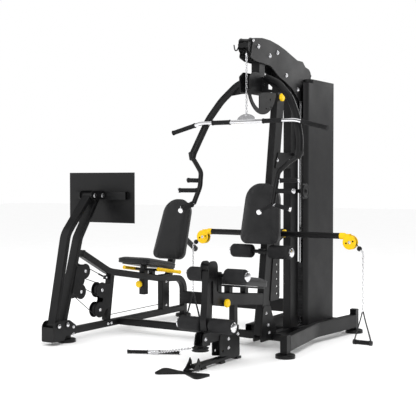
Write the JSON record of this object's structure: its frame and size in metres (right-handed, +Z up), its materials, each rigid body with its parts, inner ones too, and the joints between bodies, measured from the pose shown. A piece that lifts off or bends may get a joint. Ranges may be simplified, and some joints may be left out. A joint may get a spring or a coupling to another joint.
{
  "type": "multi station home gym",
  "caption": "Two-station home gym: weight stack tower with press arms, lat bar, leg lever and low row, joined to a parallelogram leg press.",
  "frame": {"origin": "on the floor under the middle of the whole object's box", "axes": "+Z up, the main station's user faces -Y, the weight stack is at +Y, the leg press is at -X"},
  "size_m": [2.367, 2.2584, 2.0957],
  "materials": {
    "black_steel": "black powder coat, fine texture",
    "cable": "black coated steel cable",
    "chrome": "bright chrome plate",
    "foam": "black closed cell foam",
    "grip_rubber": "black rubber grip",
    "nylon": "black moulded nylon",
    "pad_vinyl": "black upholstery vinyl over foam",
    "plate_iron": "dark painted weight plates",
    "yellow": "yellow coated, satin"
  },
  "bodies": {
    "frame": {"backrest_pad": "pad_vinyl", "boom_plates": "black_steel", "cross_beams": "black_steel", "crossbar_tube": "black_steel", "floor_feet": "black_steel", "foot_rest": "black_steel", "frame_brackets": "black_steel", "frame_cables": "cable", "frame_fasteners": "chrome", "low_frame": "black_steel", "nose_bracket": "black_steel", "pad_boards": "black_steel", "press_backrest_pad": "pad_vinyl", "press_base": "black_steel", "press_frame": "black_steel", "press_mount": "black_steel", "press_rail": "black_steel", "resting_weight_plates": "plate_iron", "roller_rods": "black_steel", "seat_pad": "pad_vinyl", "shroud": "black_steel", "side_beams": "black_steel", "side_grips": "yellow", "spine_beam": "black_steel", "stack_guides": "chrome", "uprights": "black_steel"},
    "press_arm": {"press_arms": "black_steel", "press_handgrips": "grip_rubber"},
    "lat_bar": {"lat_bar": "chrome", "lat_hanger": "chrome"},
    "leg_lever": {"lever": "black_steel"},
    "ankle_roller_pair": {"ankle_rollers": "foam"},
    "seat_roller_pair": {"seat_rollers": "foam"},
    "back_roller_pair": {"back_rollers": "foam"},
    "weight_stack": {"lifted_plates": "plate_iron", "selector": "chrome", "stack_cable": "cable"},
    "boom_pulley_front": {"front_pulley": "nylon"},
    "boom_pulley_mid": {"rear_pulley_inner": "nylon"},
    "boom_pulley_rear": {"rear_pulley_outer": "nylon"},
    "low_row_pulley": {"low_pulley": "nylon"},
    "swivel_unit_right": {"swivel_right": "yellow"},
    "swivel_unit_left": {"swivel_left": "yellow"},
    "handle_unit_right": {"handle_right": "grip_rubber"},
    "handle_unit_left": {"handle_left": "grip_rubber"},
    "press_front_link": {"press_front_arm": "black_steel"},
    "press_rear_link": {"press_rear_link": "black_steel"},
    "foot_carriage": {"foot_plate": "black_steel"},
    "tower_side_pulley": {"side_pulley": "nylon"},
    "link_pulley_upper": {"arm_pulley_1": "nylon"},
    "link_pulley_lower": {"arm_pulley_2": "nylon"},
    "strut_pulley_upper": {"strut_pulley_1": "nylon"},
    "strut_pulley_lower": {"strut_pulley_2": "nylon"},
    "press_seat": {"press_seat_pad": "pad_vinyl", "press_seat_post": "black_steel"},
    "press_seat_pin": {"press_seat_knob": "yellow"},
    "spine_pin": {"spine_knob": "yellow"},
    "arm_pin": {"arm_knob": "yellow"},
    "crossbar_pin": {"crossbar_knob": "yellow"},
    "row_handle": {"row_handle": "grip_rubber"}
  },
  "joints": [
    {"name": "press_arm_swing", "type": "hinge", "parent": "frame", "child": "press_arm", "pos_m": [0.4525, -0.16103, 1.788], "axis": [-1, 0, 0], "range_deg": [0, 35]},
    {"name": "lat_bar_swing", "type": "hinge", "parent": "frame", "child": "lat_bar", "pos_m": [0.4525, -0.30203, 1.975], "axis": [-1, 0, 0], "range_deg": [-6, 36]},
    {"name": "leg_lever_swing", "type": "hinge", "parent": "frame", "child": "leg_lever", "pos_m": [0.4525, -0.77103, 0.57], "axis": [-1, 0, 0], "range_deg": [0, 85]},
    {"name": "ankle_roller_spin", "type": "hinge", "parent": "leg_lever", "child": "ankle_roller_pair", "pos_m": [0.4525, -0.79403, 0.263], "axis": [1, 0, 0], "continuous": true},
    {"name": "seat_roller_spin", "type": "hinge", "parent": "frame", "child": "seat_roller_pair", "pos_m": [0.4525, -0.65903, 0.558], "axis": [1, 0, 0], "continuous": true},
    {"name": "back_roller_spin", "type": "hinge", "parent": "frame", "child": "back_roller_pair", "pos_m": [0.4525, -0.10103, 0.671], "axis": [1, 0, 0], "continuous": true},
    {"name": "stack_lift", "type": "slide", "parent": "frame", "child": "weight_stack", "axis": [0, 0, 1], "range_m": [0, 0.9], "deforming": ["stack_cable"]},
    {"name": "boom_front_spin", "type": "hinge", "parent": "frame", "child": "boom_pulley_front", "pos_m": [0.4525, -0.25103, 2.025], "axis": [1, 0, 0], "continuous": true},
    {"name": "boom_mid_spin", "type": "hinge", "parent": "frame", "child": "boom_pulley_mid", "pos_m": [0.4525, 0.45297, 1.94], "axis": [1, 0, 0], "continuous": true},
    {"name": "boom_rear_spin", "type": "hinge", "parent": "frame", "child": "boom_pulley_rear", "pos_m": [0.4525, 0.57897, 1.916], "axis": [1, 0, 0], "continuous": true},
    {"name": "low_row_spin", "type": "hinge", "parent": "frame", "child": "low_row_pulley", "pos_m": [0.4525, -0.85903, 0.123], "axis": [0, 0, 1], "continuous": true},
    {"name": "side_pulley_spin", "type": "hinge", "parent": "frame", "child": "tower_side_pulley", "pos_m": [0.5565, 0.34897, 1.075], "axis": [1, 0, 0], "continuous": true},
    {"name": "swivel_right_turn", "type": "hinge", "parent": "frame", "child": "swivel_unit_right", "pos_m": [0.9925, 0.07297, 0.783], "axis": [1, 0, 0], "range_deg": [-60, 60]},
    {"name": "swivel_left_turn", "type": "hinge", "parent": "frame", "child": "swivel_unit_left", "pos_m": [-0.0875, 0.07297, 0.783], "axis": [1, 0, 0], "range_deg": [-60, 60]},
    {"name": "handle_right_swing", "type": "hinge", "parent": "swivel_unit_right", "child": "handle_unit_right", "pos_m": [1.1175, 0.07297, 0.7], "axis": [1, 0, 0], "range_deg": [-20, 20]},
    {"name": "handle_left_swing", "type": "hinge", "parent": "swivel_unit_left", "child": "handle_unit_left", "pos_m": [-0.2125, 0.07297, 0.7], "axis": [1, 0, 0], "range_deg": [-20, 20]},
    {"name": "leg_press_push", "type": "hinge", "parent": "frame", "child": "press_front_link", "pos_m": [-0.8775, -0.70703, 0.134], "axis": [1, 0, 0], "range_deg": [0, 25]},
    {"name": "leg_press_follow", "type": "hinge", "parent": "frame", "child": "press_rear_link", "pos_m": [-0.8775, -0.61703, 0.134], "axis": [1, 0, 0], "range_deg": [0, 25]},
    {"name": "foot_plate_level", "type": "hinge", "parent": "press_front_link", "child": "foot_carriage", "pos_m": [-0.8775, -0.31703, 1.04], "axis": [1, 0, 0], "range_deg": [-25, 0]},
    {"name": "link_upper_spin", "type": "hinge", "parent": "press_rear_link", "child": "link_pulley_upper", "pos_m": [-0.8775, -0.39903, 0.494], "axis": [1, 0, 0], "continuous": true},
    {"name": "link_lower_spin", "type": "hinge", "parent": "press_rear_link", "child": "link_pulley_lower", "pos_m": [-0.8775, -0.44703, 0.349], "axis": [1, 0, 0], "continuous": true},
    {"name": "strut_upper_spin", "type": "hinge", "parent": "frame", "child": "strut_pulley_upper", "pos_m": [-0.8775, -0.19303, 0.335], "axis": [1, 0, 0], "continuous": true},
    {"name": "strut_lower_spin", "type": "hinge", "parent": "frame", "child": "strut_pulley_lower", "pos_m": [-0.8775, -0.21803, 0.19], "axis": [1, 0, 0], "continuous": true},
    {"name": "press_seat_height", "type": "slide", "parent": "frame", "child": "press_seat", "axis": [0, 0, 1], "range_m": [0, 0.1]},
    {"name": "press_seat_pin_pull", "type": "slide", "parent": "frame", "child": "press_seat_pin", "axis": [0, -1, 0], "range_m": [0, 0.012]},
    {"name": "spine_pin_pull", "type": "slide", "parent": "frame", "child": "spine_pin", "axis": [1, 0, 0], "range_m": [0, 0.012]},
    {"name": "arm_pin_pull", "type": "slide", "parent": "frame", "child": "arm_pin", "axis": [1, 0, 0], "range_m": [0, 0.012]},
    {"name": "crossbar_pin_pull", "type": "slide", "parent": "frame", "child": "crossbar_pin", "axis": [1, 0, 0], "range_m": [0, 0.012]},
    {"name": "row_handle_swing", "type": "hinge", "parent": "frame", "child": "row_handle", "pos_m": [0.3805, -0.85903, 0.12], "axis": [0, 0, 1], "range_deg": [-6, 10]}
  ],
  "couplings": [
    {"joint": "lat_bar_swing", "follows": "press_arm_swing", "ratio": 1},
    {"joint": "leg_press_follow", "follows": "leg_press_push", "ratio": 1},
    {"joint": "foot_plate_level", "follows": "leg_press_push", "ratio": -1}
  ]
}
